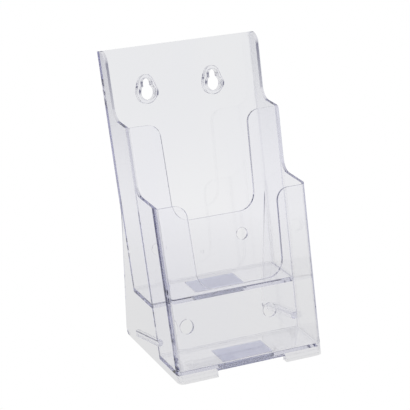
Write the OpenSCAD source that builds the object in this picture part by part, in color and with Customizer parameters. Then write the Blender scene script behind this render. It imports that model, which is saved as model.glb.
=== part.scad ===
// Two-tier leaflet rack in clear plastic, for a counter top or two wall screws.
// X runs across the rack, +Y towards its back, +Z up. Millimetres.
// The origin is on the ground, at the middle of the rack's width and depth.

/* [Overall] */
// Height of the back panel's top edge above the ground
rack_h = 198; // [180:1:220]
// Width across the side panels at the ground
foot_w = 107.4; // [100:0.1:120]
// Width across the side panels at the top
top_w = 115.6; // [108:0.1:126]
// Backward lean of the three pocket walls from upright, in degrees
lean = 15.9; // [12:0.1:18]
// Thickness of every upright panel
wall_t = 2.4; // [2:0.1:3]

/* [Pockets] */
// Clear depth of the rear pocket, square to its walls
rear_gap = 27.7; // [22:0.1:32]
// Clear depth of the front pocket, square to its walls
front_gap = 27.4; // [20:0.1:30]
// Thickness of the two pocket floors
floor_t = 3.2; // [2.4:0.1:4]
// Height of the rear pocket floor's underside
rear_floor_z = 37.6; // [30:0.1:45]
// Height of the front pocket floor's underside, which is the height of the feet
front_floor_z = 4.2; // [3:0.1:8]
// Height of the rear pocket's front corners
rear_corner_z = 156; // [145:1:165]
// Height of the front pocket's front corners
front_corner_z = 113.2; // [105:0.1:120]

/* [Finger cut-outs] */
// Width of the middle panel's cut-out at its mouth
mid_cut_w = 65.4; // [50:0.1:70]
// Width of the middle panel's cut-out near its bottom
mid_cut_foot_w = 60.6; // [50:0.1:66]
// Depth of the middle panel's cut-out, measured down the wall
mid_cut_d = 67.4; // [50:0.1:75]
// Width of the front panel's cut-out at its mouth
front_cut_w = 67; // [50:0.1:70]
// Width of the front panel's cut-out near its bottom
front_cut_foot_w = 62.6; // [50:0.1:66]
// Depth of the front panel's cut-out, measured down the wall
front_cut_d = 58.4; // [40:0.1:65]
// Radius of the cut-outs' two lower corners
cut_r = 12; // [8:1:15]
// Radius where each cut-out turns out into the panel's top edge
shoulder_r = 9; // [5:1:12]

/* [Side panels] */
// Depth of the rim that each side panel keeps along the back panel, square to it
rim_d = 12; // [8:0.5:16]
// Radius at the top corner of that rim
rim_r = 9; // [4:1:11]
// Radius of the inward corners where a tier's level edge meets the wall behind it
step_r = 10; // [4:1:12]
// Radius of the outward corners at the front of each tier
tier_r = 3; // [1:0.5:5]
// Distance from the back panel's foot line to the upright rear edge of the base
base_back = 25.7; // [20:0.1:32]
// Radius of the base's rear bottom corners
base_r = 5; // [2:1:8]
// Radius, seen from above, of the rack's two outer front corners
corner_r = 4.5; // [2:0.1:5]

/* [Keyholes] */
// Distance between the two keyholes' centres
key_spacing = 50; // [40:1:60]
// Distance of the entry holes' centres from the ground, measured up the wall
key_u = 173.3; // [160:0.1:180]
// Radius of the entry hole, which a screw's head passes
key_entry_r = 5.5; // [5.1:0.1:6]
// Width of the slot above it, which holds the screw's shank
key_slot_w = 7; // [6:0.1:7.4]
// Distance from the entry hole's centre up to the slot's end centre
key_rise = 6.2; // [5:0.1:8]
// Width of the collar's rim round the opening
boss_rim = 2.5; // [1.5:0.1:3.5]
// How far the collar stands out behind the back panel
boss_t = 4.4; // [2:0.1:6]

/* [Small features] */
// Distance of the lower round holes from the rack's centre line
hole_x = 31.5; // [26:0.1:36]
// Radius of the two round holes in the back panel
back_hole_r = 4.2; // [3:0.1:5]
// Distance of the back panel's round holes from the ground, measured up the wall
back_hole_u = 65.6; // [60:0.1:75]
// Radius of the two round holes in the middle panel
mid_hole_r = 4.9; // [3:0.1:6]
// Distance of the middle panel's round holes from the ground, measured up the wall
mid_hole_u = 14.1; // [12:0.1:16]
// Width of the ribbed pads in the two floors
pad_w = 37; // [24:1:50]
// Depth of the ribbed pads
pad_d = 18.6; // [12:0.1:20]
// Thickness of the ribbed pads, which are set into the floors' undersides
pad_t = 1.2; // [0.8:0.1:1.6]
// Distance from the rear pocket's back wall to its pad
rear_pad_set = 3.6; // [2:0.1:6]
// Distance from the front pocket's back wall to its pad
front_pad_set = 6.2; // [2:0.1:6.5]
// Radius of the two posts in the base
post_r = 2.5; // [2:0.1:3]
// Distance of the posts' front ends from the ground, measured up the wall
post_u = 6.7; // [6:0.1:10]
// Length of the posts
post_len = 37.7; // [30:0.1:40]
// Angle by which the posts rise towards their rear ends, from square to the wall, in degrees
post_rise = 3.6; // [0:0.1:6]
// Radius of the moulding mark in the middle of the back panel's rear face
mark_r = 1.1; // [0.8:0.1:2]
// Distance of that mark from the ground, measured up the wall
mark_u = 58; // [50:1:160]
// Length of the two front feet
foot_len = 26; // [15:1:35]
// Depth of the two front feet
foot_d = 5; // [3:0.5:8]

/* [Hidden] */

LEFT = -1;
RIGHT = 1;
reach = 400;      // longer than the rack each way, for cutting tools
arc_steps = 12;   // straight pieces in each rounded corner
rib_pitch = 1.55; // spacing of the fine grooves in the pads
rib_depth = 0.35;
rib_margin = 1.2; // plain border round the grooves
post_from_wall = 1.2; // between a post's axis and the side panel that it is joined to
mark_h = 0.5;     // how far the moulding mark stands out

// The walls are laid out square to their own lean: n counts forward from the back panel's rear
// face, and u counts up the wall from the ground line of that face.
mid_n = wall_t + rear_gap;                // rear face of the middle panel
mid_front_n = mid_n + wall_t;
front_n = mid_front_n + front_gap;        // rear face of the front panel
front_front_n = front_n + wall_t;
back_len = (rack_h - wall_t * sin(lean)) / cos(lean);
// This sets the origin half way between the front panel's foot and the back panel's top.
wall_foot_y = (front_front_n / cos(lean) - back_len * sin(lean)) / 2;
base_back_y = wall_foot_y + base_back;
rear_floor_top = rear_floor_z + floor_t;
front_floor_top = front_floor_z + floor_t;

// Slope of the side panels: each half of the width grows by this much for each unit of height.
side_slope = (top_w - foot_w) / 2 / rack_h;
side_t = wall_t * sqrt(1 + side_slope * side_slope);

clear_plastic = [0.86, 0.88, 0.95, 0.4];
tinted_plastic = [0.45, 0.48, 0.7, 0.7];

// Half of the rack's width at height z, outside and inside the side panels
function half_out(z) = foot_w / 2 + side_slope * z;
function half_in(z) = half_out(z) - side_t;
// Y of the leaning plane n, at height z
function wall_y(n, z) = wall_foot_y + z * tan(lean) - n / cos(lean);
// Distance up the wall, in the plane n, of height z
function wall_u(n, z) = (z - n * sin(lean)) / cos(lean);
// A point of the plane n at distance u up the wall, as [y, z]
function wall_point(n, u) = [wall_foot_y + u * sin(lean) - n * cos(lean), u * cos(lean) + n * sin(lean)];

function unit(v) = v / norm(v);
// Turn from angle a to angle b, the short way round
function turn(a, b) = let (d = b - a) d > 180 ? d - 360 : d < -180 ? d + 360 : d;
// Points that round the corner b of the path a, b, c with radius r
function round_corner(a, b, c, r) = r == 0 ? [b] :
    let (p = unit(a - b),
        q = unit(c - b),
        half = acos(p * q) / 2,
        mid = b + unit(p + q) * r / sin(half),
        from = b + p * r / tan(half) - mid,
        to = b + q * r / tan(half) - mid,
        start = atan2(from[1], from[0]),
        sweep = turn(start, atan2(to[1], to[0])))
    [for (i = [0 : arc_steps])
        mid + r * [cos(start + sweep * i / arc_steps), sin(start + sweep * i / arc_steps)]];
// A closed outline from corners given as [point, radius]
function rounded(corners) = let (count = len(corners))
    [for (i = [0 : count - 1]) each round_corner(corners[(i + count - 1) % count][0],
        corners[i][0], corners[(i + 1) % count][0], corners[i][1])];

// Draws children in the leaning frame: X across, Z up the wall, -Y forward from the rear face
module on_wall() {
    translate([0, wall_foot_y, 0]) rotate([-lean, 0, 0]) children();
}

// An outline in X and u, as a slab from plane n to plane n + t
module wall_slab(n, t) {
    on_wall() translate([0, -n, 0]) rotate([90, 0, 0]) linear_extrude(t) children();
}

// An outline in Y and Z, extruded across the rack between x0 and x1
module across(x0, x1) {
    translate([x0, 0, 0]) rotate([90, 0, 90]) linear_extrude(x1 - x0) children();
}

// The space between the side panels, above height z
module between_sides(z) {
    translate([0, reach / 2, 0]) rotate([90, 0, 0]) linear_extrude(reach)
        polygon([[-half_in(z), z], [half_in(z), z], [half_in(reach), reach], [-half_in(reach), reach]]);
}

// A panel's outline in X and u, with a finger cut-out in its top edge
module cut_panel_outline(top_u, cut_w, cut_foot_w, cut_d) {
    polygon(rounded([
        [[-reach, -reach], 0],
        [[reach, -reach], 0],
        [[reach, top_u], 0],
        [[cut_w / 2, top_u], shoulder_r],
        [[cut_foot_w / 2, top_u - cut_d], cut_r],
        [[-cut_foot_w / 2, top_u - cut_d], cut_r],
        [[-cut_w / 2, top_u], shoulder_r],
        [[-reach, top_u], 0]]));
}

// Puts children at a keyhole's entry hole: X across, Y up the wall, Z forward from plane n
module at_keyhole(side, n) {
    on_wall() translate([side * key_spacing / 2, -n, key_u]) rotate([90, 0, 0]) children();
}

// A keyhole opening: a round entry hole with a slot above it
module keyhole_tool(side, n, t) {
    at_keyhole(side, n) {
        cylinder(h = t, r = key_entry_r, $fn = 64);
        translate([0, key_rise, 0]) cylinder(h = t, r = key_slot_w / 2, $fn = 64);
        translate([-key_slot_w / 2, 0, 0]) cube([key_slot_w, key_rise, t]);
    }
}

// The corner outside the rounded join of the front panel and a side panel
module corner_waste(side) {
    centre_n = front_front_n - corner_r;
    side_tilt = atan(side_slope * cos(lean));
    on_wall() translate([side * half_out(centre_n * sin(lean)), -centre_n, 0])
        rotate([0, side * side_tilt, 0]) translate([-side * corner_r, 0, -reach]) linear_extrude(2 * reach)
            polygon([each [for (i = [0 : arc_steps])
                    corner_r * [side * cos(90 * i / arc_steps), -sin(90 * i / arc_steps)]],
                [0, -3 * corner_r], [side * 3 * corner_r, -3 * corner_r], [side * 3 * corner_r, 0]]);
}

// A round hole through the panel whose rear face is plane n
module wall_hole(x, u, n, r) {
    on_wall() translate([x, 1 - n, u]) rotate([90, 0, 0]) cylinder(h = wall_t + 2, r = r, $fn = 64);
}

module back_panel() {
    color(clear_plastic) {
        difference() {
            intersection() {
                wall_slab(0, wall_t) translate([-reach, -reach]) square([2 * reach, reach + back_len]);
                between_sides(rear_floor_top);
            }
            for (side = [LEFT, RIGHT]) {
                keyhole_tool(side, -1, wall_t + 2);
                wall_hole(side * hole_x, back_hole_u, 0, back_hole_r);
            }
        }
        on_wall() translate([0, mark_h, mark_u]) rotate([90, 0, 0])
            cylinder(h = mark_h + wall_t / 2, r = mark_r, $fn = 32);
    }
}

module middle_panel() {
    top_u = wall_u(mid_front_n, rear_corner_z);
    color(clear_plastic) difference() {
        intersection() {
            wall_slab(mid_n, wall_t) cut_panel_outline(top_u, mid_cut_w, mid_cut_foot_w, mid_cut_d);
            between_sides(front_floor_top);
        }
        for (side = [LEFT, RIGHT]) wall_hole(side * hole_x, mid_hole_u, mid_n, mid_hole_r);
    }
}

module front_panel() {
    top_u = wall_u(front_front_n, front_corner_z);
    color(clear_plastic) difference() {
        intersection() {
            wall_slab(front_n, wall_t)
                cut_panel_outline(top_u, front_cut_w, front_cut_foot_w, front_cut_d);
            between_sides(front_floor_z);
        }
        for (side = [LEFT, RIGHT]) corner_waste(side);
    }
}

// Outline of a side panel in Y and Z: the base, then the front tier, the rear tier and the rim
module side_outline() {
    rim_foot_y = wall_y(rim_d, rear_corner_z);
    polygon(rounded([
        [[base_back_y, 0], base_r],
        [[base_back_y, (base_back_y - wall_foot_y) / tan(lean)], 0],
        [wall_point(0, back_len), 0],
        [wall_point(rim_d, back_len), rim_r],
        [[rim_foot_y, rear_corner_z], step_r],
        [[wall_y(mid_front_n, rear_corner_z), rear_corner_z], tier_r],
        [[wall_y(mid_front_n, front_corner_z), front_corner_z], step_r],
        [[wall_y(front_front_n, front_corner_z), front_corner_z], tier_r],
        [[wall_y(front_front_n, 0), 0], 0]]));
}

// One side panel: the outline, cut from a slab that leans outward with the rack's draft
module side_panel(side) {
    color(clear_plastic) difference() {
        intersection() {
            across(-reach, reach) side_outline();
            translate([0, reach / 2, 0]) rotate([90, 0, 0]) linear_extrude(reach)
                polygon([[side * half_in(0), 0], [side * half_out(0), 0],
                    [side * half_out(reach), reach], [side * half_in(reach), reach]]);
        }
        corner_waste(side);
    }
}

// The slab between two leaning planes and two heights, from side panel to side panel
module floor_slab(rear_n, fore_n, z) {
    intersection() {
        across(-reach, reach) polygon([[wall_y(fore_n, z), z], [wall_y(rear_n, z), z],
            [wall_y(rear_n, z + floor_t), z + floor_t], [wall_y(fore_n, z + floor_t), z + floor_t]]);
        between_sides(0);
    }
}

// The space that a pad fills, in the underside of the floor at height z
module pad_block(back_y, z) {
    translate([-pad_w / 2, back_y - pad_d, z]) cube([pad_w, pad_d, pad_t]);
}

// A pad with fine grooves along X in its underside
module ribbed_pad(back_y, z) {
    groove_count = floor((pad_d - 2 * rib_margin) / rib_pitch);
    color(tinted_plastic) difference() {
        pad_block(back_y, z);
        for (i = [0 : groove_count - 1])
            translate([-pad_w / 2 + rib_margin, back_y - rib_margin - (i + 0.75) * rib_pitch, z - 1])
                cube([pad_w - 2 * rib_margin, rib_pitch / 2, 1 + rib_depth]);
    }
}

rear_pad_y = wall_y(wall_t, rear_floor_top) - rear_pad_set;
front_pad_y = wall_y(mid_front_n, front_floor_top) - front_pad_set;

module rear_pocket_floor() {
    color(clear_plastic) difference() {
        floor_slab(0, mid_n, rear_floor_z);
        translate([0, 0, -1]) pad_block(rear_pad_y, rear_floor_z);
        pad_block(rear_pad_y, rear_floor_z);
    }
}

module front_pocket_floor() {
    color(clear_plastic) difference() {
        floor_slab(mid_n, front_n, front_floor_z);
        translate([0, 0, -1]) pad_block(front_pad_y, front_floor_z);
        pad_block(front_pad_y, front_floor_z);
    }
}

module rear_floor_pad() {
    ribbed_pad(rear_pad_y, rear_floor_z);
}

module front_floor_pad() {
    ribbed_pad(front_pad_y, front_floor_z);
}

// Egg-shaped collar behind the back panel, round a keyhole: two rounds and their shared tangents
module keyhole_boss(side) {
    big = key_entry_r + boss_rim;
    small = key_slot_w / 2 + boss_rim;
    taper = asin((big - small) / key_rise);
    color(clear_plastic) difference() {
        at_keyhole(side, -boss_t) {
            cylinder(h = boss_t, r = big, $fn = 96);
            translate([0, key_rise, 0]) cylinder(h = boss_t, r = small, $fn = 96);
            linear_extrude(boss_t) polygon([
                [big * cos(taper), big * sin(taper)],
                [small * cos(taper), key_rise + small * sin(taper)],
                [-small * cos(taper), key_rise + small * sin(taper)],
                [-big * cos(taper), big * sin(taper)]]);
        }
        keyhole_tool(side, -boss_t - 1, boss_t + 2);
    }
}

// Post along the foot of a side panel, back from the middle panel, flat where it joins the side panel
module brace_post(side) {
    axis_x = side * (half_in(0) - post_from_wall);
    color(clear_plastic) intersection() {
        on_wall() translate([axis_x, -mid_n, post_u]) rotate([post_rise - 90, 0, 0])
            translate([0, 0, -1]) cylinder(h = post_len + 1, r = post_r, $fn = 48);
        on_wall() translate([-reach, -mid_n, -reach]) cube([2 * reach, reach, 2 * reach]);
        between_sides(0);
    }
}

// Foot under a front corner, between the side panel and the open middle of the front edge
module front_foot(side) {
    foot_back_n = front_front_n - foot_d * cos(lean);
    color(clear_plastic) difference() {
        intersection() {
            across(-reach, reach) polygon([[wall_y(front_front_n, 0), 0], [wall_y(foot_back_n, 0), 0],
                [wall_y(foot_back_n, front_floor_z), front_floor_z],
                [wall_y(front_front_n, front_floor_z), front_floor_z]]);
            translate([0, reach / 2, 0]) rotate([90, 0, 0]) linear_extrude(reach)
                polygon([[side * (half_in(0) - foot_len), 0], [side * half_in(0), 0],
                    [side * half_in(reach), reach], [side * (half_in(0) - foot_len), reach]]);
        }
        corner_waste(side);
    }
}

back_panel();
middle_panel();
front_panel();
side_panel(LEFT);  // left_side_panel
side_panel(RIGHT);  // right_side_panel
rear_pocket_floor();
front_pocket_floor();
rear_floor_pad();
front_floor_pad();
keyhole_boss(LEFT);  // left_keyhole_boss
keyhole_boss(RIGHT);  // right_keyhole_boss
brace_post(LEFT);  // left_brace_post
brace_post(RIGHT);  // right_brace_post
front_foot(LEFT);  // left_front_foot
front_foot(RIGHT);  // right_front_foot
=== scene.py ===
import math

import bmesh
import bpy
import numpy as np
from mathutils import Matrix, Vector


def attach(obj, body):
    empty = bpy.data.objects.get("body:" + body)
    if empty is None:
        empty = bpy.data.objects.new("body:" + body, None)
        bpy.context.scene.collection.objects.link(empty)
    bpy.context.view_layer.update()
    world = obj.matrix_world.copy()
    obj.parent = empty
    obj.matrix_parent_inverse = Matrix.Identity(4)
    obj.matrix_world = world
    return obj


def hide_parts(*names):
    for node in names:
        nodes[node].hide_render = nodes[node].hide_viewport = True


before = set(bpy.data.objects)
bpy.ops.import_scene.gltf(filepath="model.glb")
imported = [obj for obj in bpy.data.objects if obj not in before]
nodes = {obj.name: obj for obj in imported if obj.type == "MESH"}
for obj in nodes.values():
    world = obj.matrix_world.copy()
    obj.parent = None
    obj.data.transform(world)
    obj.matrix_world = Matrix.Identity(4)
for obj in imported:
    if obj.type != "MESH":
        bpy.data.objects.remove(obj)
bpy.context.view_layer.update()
scene = bpy.context.scene

# ---------------------------------------------------------------- sizes
MM = 0.001                  # the scene is in metres
SKIN_GAP = 0.03 * MM        # every face is drawn in by this, so bonded faces never coincide
EDGE_ROUND = 0.35 * MM      # moulded edges
PAD_ROUND = 0.08 * MM       # edges of the fine grooves
ROUND_STEPS = 3             # faces across each rounded edge
WELD = 0.001 * MM           # corners that are nearer than this become one
FLAT = math.radians(0.5)    # faces that turn less than this become one
SHARP = math.radians(25)    # edges that turn more than this are rounded
BOND_REACH = 0.4 * MM       # pieces that are nearer than this are bonded together
BOND_RAYS = 3               # how often a face looks for a piece that near

# ---------------------------------------------------------------- looks
WHITE = (1, 1, 1, 1)
CLEAR_IOR = 1.59
CLEAR_TINT = (0.985, 0.985, 1, 1)      # the surface, where its flow waves are low
CLEAR_DEPTH = (0.68, 0.68, 0.81, 1)    # what the plastic's inside leaves of the light
CLEAR_DENSITY = 20.0                   # and how strongly, per metre
CLEAR_ROUGH = (0.005, 0.03)            # clean and handled spots
FLOW = {"Scale": 22.0, "Detail": 2.0, "Roughness": 0.4}     # slow flow waves of the moulding
FLOW_STRETCH = (1, 1, 0.35)
FLOW_HEIGHT = 0.02 * MM
HAZE = {"Scale": 160.0, "Detail": 6.0, "Roughness": 0.62}   # fine haze of handling marks
PAD_IOR = 1.5
PAD_TINTS = ((0.75, 0.765, 0.93, 1), (0.86, 0.875, 1.0, 1))
PAD_ROUGH = (0.25, 0.5)
GRAIN = {"Scale": 900.0, "Detail": 4.0, "Roughness": 0.6}   # the pads' grain, along their grooves
GRAIN_STRETCH = (0.15, 1, 1)

SEEN_BRIGHT = (0.875, 0.875, 0.88, 1)  # what the plastic passes on from behind the rack: the floor lane's painted light, and the sky's bright fields
SEEN_SHADED = (0.76, 0.76, 0.76, 1)    # from close under it: a painted shadow of the rack in the floor's glow
SEEN_FAR = (0.825, 0.83, 0.84, 1)      # from far behind it, where the floor's painted light falls off
SEEN_DIM = (0.15, 0.15, 0.23, 1)       # and from everywhere else
LIGHT_TURN = math.radians(25)          # the rack is lit from behind, along a line at this angle
LANE_EDGE, LANE_FULL = 0.62, 0.17      # half widths of the floor's painted bright lane along that line
LANE_NEAR, LANE_FAR = 0.02, 0.62       # its painted shade and light change over this stretch behind the rack
BEHIND_EDGE, BEHIND_FULL = 0.48, 0.86  # bright surroundings behind the rack, as cosines to that line
BEFORE_EDGE, BEFORE_FULL = -0.6, -0.88  # and before it, as cosines to +Y
LIGHT_BOUNCES = 256
DIFFUSE_BOUNCES = 3


# ---------------------------------------------------------------- shader nodes
def add(tree, kind, **values):
    """A new node. Each value goes to the input of that name or, where it has none, to the setting."""
    node = tree.nodes.new(kind)
    for key, value in values.items():
        if key in node.inputs.keys():
            node.inputs[key].default_value = value
        else:
            setattr(node, key, value)
    return node


def object_coords(tree, scale=(1, 1, 1)):
    coords = add(tree, "ShaderNodeTexCoord")
    mapping = add(tree, "ShaderNodeMapping", Scale=scale)
    tree.links.new(coords.outputs["Object"], mapping.inputs["Vector"])
    return mapping.outputs["Vector"]


def noise(tree, values, stretch=(1, 1, 1)):
    node = add(tree, "ShaderNodeTexNoise", **values)
    tree.links.new(object_coords(tree, stretch), node.inputs["Vector"])
    return node.outputs["Fac"]


def ramp(tree, source, places, colours):
    node = add(tree, "ShaderNodeValToRGB")
    elements = node.color_ramp.elements
    while len(elements) < len(places):
        elements.new(0.5)
    for element, place, colour in zip(elements, places, colours):
        element.position = place
        element.color = colour
    tree.links.new(source, node.inputs["Fac"])
    return node.outputs["Color"]


def fade(tree, value, start, end):
    """0 up to start and 1 from end on, with a soft change between them."""
    node = add(tree, "ShaderNodeMapRange", interpolation_type="SMOOTHSTEP")
    node.inputs["From Min"].default_value = start
    node.inputs["From Max"].default_value = end
    tree.links.new(value, node.inputs["Value"])
    return node.outputs["Result"]


def combine(tree, operation, *values):
    node = add(tree, "ShaderNodeMath", operation=operation)
    for socket, value in zip(node.inputs, values):
        tree.links.new(value, socket)
    return node.outputs["Value"]


def mix_colours(tree, factor, low, high):
    """Low where the factor is 0, high where it is 1. Each is a colour or another node's output."""
    node = add(tree, "ShaderNodeMix", data_type="RGBA", clamp_factor=True)
    colours = [socket for socket in node.inputs if socket.type == "RGBA"]
    for socket, value in zip(colours, (low, high)):
        if isinstance(value, tuple):
            socket.default_value = value
        else:
            tree.links.new(value, socket)
    tree.links.new(factor, node.inputs["Factor"])
    return next(socket for socket in node.outputs if socket.type == "RGBA")


# ---------------------------------------------------------------- materials
def new_material(name, ior):
    """A material that lets light through, with its node tree and its shader."""
    material = bpy.data.materials.new(name)
    material.use_nodes = True
    tree = material.node_tree
    shader = tree.nodes["Principled BSDF"]
    shader.inputs["Transmission Weight"].default_value = 1.0
    shader.inputs["IOR"].default_value = ior
    return material, tree, shader


def grey(value):
    return value, value, value, 1


def open_faces(tree):
    """1 on open faces, and 0 where a face is bonded to another piece, so light passes straight on."""
    geometry = add(tree, "ShaderNodeNewGeometry")
    sign = add(tree, "ShaderNodeMapRange")
    sign.inputs["To Min"].default_value = 1.0
    sign.inputs["To Max"].default_value = -1.0
    tree.links.new(geometry.outputs["Backfacing"], sign.inputs["Value"])
    outward = add(tree, "ShaderNodeVectorMath", operation="SCALE")
    tree.links.new(geometry.outputs["True Normal"], outward.inputs["Vector"])
    tree.links.new(sign.outputs["Result"], outward.inputs["Scale"])
    near = add(tree, "ShaderNodeAmbientOcclusion", samples=BOND_RAYS, Distance=BOND_REACH)
    tree.links.new(outward.outputs["Vector"], near.inputs["Normal"])
    mostly_open = add(tree, "ShaderNodeMath", operation="GREATER_THAN")
    tree.links.new(near.outputs["AO"], mostly_open.inputs[0])
    mostly_open.inputs[1].default_value = 0.5
    return mostly_open.outputs["Value"]


def clear_polystyrene():
    material, tree, shader = new_material("clear_polystyrene", CLEAR_IOR)
    flow = noise(tree, FLOW, FLOW_STRETCH)
    rough = ramp(tree, noise(tree, HAZE), (0.35, 0.75), [grey(value) for value in CLEAR_ROUGH])
    tree.links.new(rough, shader.inputs["Roughness"])
    tree.links.new(ramp(tree, flow, (0.3, 0.7), (CLEAR_TINT, WHITE)), shader.inputs["Base Color"])
    bump = add(tree, "ShaderNodeBump", Strength=1.0, Distance=FLOW_HEIGHT)
    tree.links.new(flow, bump.inputs["Height"])
    tree.links.new(bump.outputs["Normal"], shader.inputs["Normal"])
    tree.links.new(open_faces(tree), shader.inputs["Alpha"])
    depth = add(tree, "ShaderNodeVolumeAbsorption", Color=CLEAR_DEPTH, Density=CLEAR_DENSITY)
    tree.links.new(depth.outputs["Volume"], tree.nodes["Material Output"].inputs["Volume"])
    return material


def ribbed_insert():
    material, tree, shader = new_material("ribbed_insert", PAD_IOR)
    grain = noise(tree, GRAIN, GRAIN_STRETCH)
    tree.links.new(ramp(tree, grain, (0.3, 0.7), PAD_TINTS), shader.inputs["Base Color"])
    rough = ramp(tree, grain, (0.3, 0.7), [grey(value) for value in PAD_ROUGH])
    tree.links.new(rough, shader.inputs["Roughness"])
    return material


# ---------------------------------------------------------------- pieces
def draw_in(bm, gap):
    """Moves every face of a closed solid inwards by gap."""
    moves = []
    for v in bm.verts:
        normals = np.array([f.normal for f in v.link_faces], float)
        moves.append(np.linalg.lstsq(normals, np.full(len(normals), -gap), rcond=1e-3)[0])
    for v, move in zip(bm.verts, moves):
        v.co += Vector(move)


def is_sharp(edge):
    return len(edge.link_faces) == 2 and edge.calc_face_angle(0) > SHARP


def round_edges(bm, radius):
    bmesh.ops.bevel(bm, geom=[e for e in bm.edges if is_sharp(e)], offset=radius, offset_type="OFFSET",
                    segments=ROUND_STEPS, profile=0.5, affect="EDGES", clamp_overlap=True)


def moulding(node, material, radius):
    """The CAD node's own solid, drawn in and with its sharp edges rounded."""
    bm = bmesh.new()
    bm.from_mesh(nodes[node].data)
    bmesh.ops.remove_doubles(bm, verts=bm.verts, dist=WELD)
    bmesh.ops.dissolve_limit(bm, angle_limit=FLAT, verts=bm.verts, edges=bm.edges)
    bm.normal_update()
    draw_in(bm, SKIN_GAP)
    bm.normal_update()
    round_edges(bm, radius)
    bm.normal_update()
    for f in bm.faces:
        f.smooth = True
    for e in bm.edges:
        e.smooth = not is_sharp(e)
    mesh = bpy.data.meshes.new(node + "_moulding")
    bm.to_mesh(mesh)
    bm.free()
    piece = bpy.data.objects.new(node + "_moulding", mesh)
    scene.collection.objects.link(piece)
    mesh.materials.append(material)
    weighted = piece.modifiers.new("even_shading", "WEIGHTED_NORMAL")
    weighted.keep_sharp = True
    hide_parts(node)
    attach(piece, "root")


CLEAR_NODES = [
    "back_panel", "middle_panel", "front_panel", "left_side_panel", "right_side_panel",
    "rear_pocket_floor", "front_pocket_floor", "left_keyhole_boss", "right_keyhole_boss",
    "left_brace_post", "right_brace_post", "left_front_foot", "right_front_foot"]
PAD_NODES = ["rear_floor_pad", "front_floor_pad"]

clear = clear_polystyrene()
insert = ribbed_insert()
for name in CLEAR_NODES:
    moulding(name, clear, EDGE_ROUND)
for name in PAD_NODES:
    moulding(name, insert, PAD_ROUND)


# ---------------------------------------------------------------- floor and light
def turned(tree, vector):
    """Splits a vector into its parts across and along the line that the rack is lit from."""
    rotate = add(tree, "ShaderNodeVectorRotate", rotation_type="Z_AXIS", Angle=LIGHT_TURN)
    tree.links.new(vector, rotate.inputs["Vector"])
    parts = add(tree, "ShaderNodeSeparateXYZ")
    tree.links.new(rotate.outputs["Vector"], parts.inputs["Vector"])
    return parts.outputs["X"], parts.outputs["Y"]


def seen_colour(tree, amount, bright):
    """White to the camera, and between dim and bright to rays that come through the plastic."""
    inner = mix_colours(tree, amount, SEEN_DIM, bright)
    path = add(tree, "ShaderNodeLightPath")
    return mix_colours(tree, path.outputs["Is Camera Ray"], inner, WHITE)


def studio_floor(radius=6.0, sides=96, drop=0.12 * MM):
    """A floor just under the rack that glows: white to the camera, and to rays through the plastic a
    painted bright lane with a painted shadow of the rack close to it.
    """
    bm = bmesh.new()
    bmesh.ops.create_circle(bm, cap_ends=True, segments=sides, radius=radius)
    mesh = bpy.data.meshes.new("studio_floor")
    bm.to_mesh(mesh)
    bm.free()
    floor = bpy.data.objects.new("studio_floor", mesh)
    scene.collection.objects.link(floor)
    floor.location = (0, 0, -drop)
    material = bpy.data.materials.new("glowing_floor_with_painted_light")
    material.use_nodes = True
    tree = material.node_tree
    tree.nodes.remove(tree.nodes["Principled BSDF"])
    across, along = turned(tree, object_coords(tree))
    # The lane's glow is painted darker close to the rack, as a painted shadow of it, and falls off
    # again far behind it
    painted_light_lane = fade(tree, combine(tree, "ABSOLUTE", across), LANE_EDGE, LANE_FULL)
    bright = ramp(tree, fade(tree, along, LANE_NEAR, LANE_FAR), (0.0, 0.3, 1.0),
                  (SEEN_SHADED, SEEN_BRIGHT, SEEN_FAR))
    # The floor gives out its colour as glow, so its painted lane and painted shadow light the plastic
    painted_floor_glow = add(tree, "ShaderNodeEmission", Strength=1.0)
    tree.links.new(seen_colour(tree, painted_light_lane, bright), painted_floor_glow.inputs["Color"])
    tree.links.new(painted_floor_glow.outputs["Emission"], tree.nodes["Material Output"].inputs["Surface"])
    mesh.materials.append(material)


def studio_world():
    """White all round, with soft bright fields behind the rack and before it."""
    world = bpy.data.worlds.new("studio")
    scene.world = world
    world.use_nodes = True
    tree = world.node_tree
    direction = add(tree, "ShaderNodeTexCoord").outputs["Generated"]
    behind = fade(tree, turned(tree, direction)[1], BEHIND_EDGE, BEHIND_FULL)
    parts = add(tree, "ShaderNodeSeparateXYZ")
    tree.links.new(direction, parts.inputs["Vector"])
    before = fade(tree, parts.outputs["Y"], BEFORE_EDGE, BEFORE_FULL)
    lit = combine(tree, "MAXIMUM", behind, before)
    tree.links.new(seen_colour(tree, lit, SEEN_BRIGHT), tree.nodes["Background"].inputs["Color"])


studio_floor()
studio_world()


# ---------------------------------------------------------------- camera
def add_camera(azimuth, elevation, roll, target, distance, lens, sensor=36):
    """Angles are in degrees, with azimuth 0 looking at the rack's front, and lengths in mm."""
    azimuth, elevation, roll = (math.radians(a) for a in (azimuth, elevation, roll))
    back = Vector((math.sin(azimuth) * math.cos(elevation), -math.cos(azimuth) * math.cos(elevation),
                   math.sin(elevation)))
    right = Vector((0, 0, 1)).cross(back).normalized()
    up = back.cross(right)
    right, up = (right * math.cos(roll) + up * math.sin(roll),
                 up * math.cos(roll) - right * math.sin(roll))
    data = bpy.data.cameras.new("camera")
    data.lens = lens
    data.sensor_width = sensor
    data.clip_start = 0.05
    data.clip_end = 50
    camera = bpy.data.objects.new("camera", data)
    scene.collection.objects.link(camera)
    axes = Matrix((right, up, back)).transposed().to_4x4()
    camera.matrix_world = Matrix.Translation(Vector(target) * MM + back * distance * MM) @ axes
    scene.camera = camera


add_camera(azimuth=-25.1646, elevation=20.992, roll=-0.3809,
           target=(-4.24, 4.58, 96.54), distance=1144.6, lens=147.65)

scene.view_settings.view_transform = "Standard"
scene.cycles.max_bounces = LIGHT_BOUNCES
scene.cycles.transmission_bounces = LIGHT_BOUNCES
scene.cycles.glossy_bounces = LIGHT_BOUNCES
scene.cycles.diffuse_bounces = DIFFUSE_BOUNCES
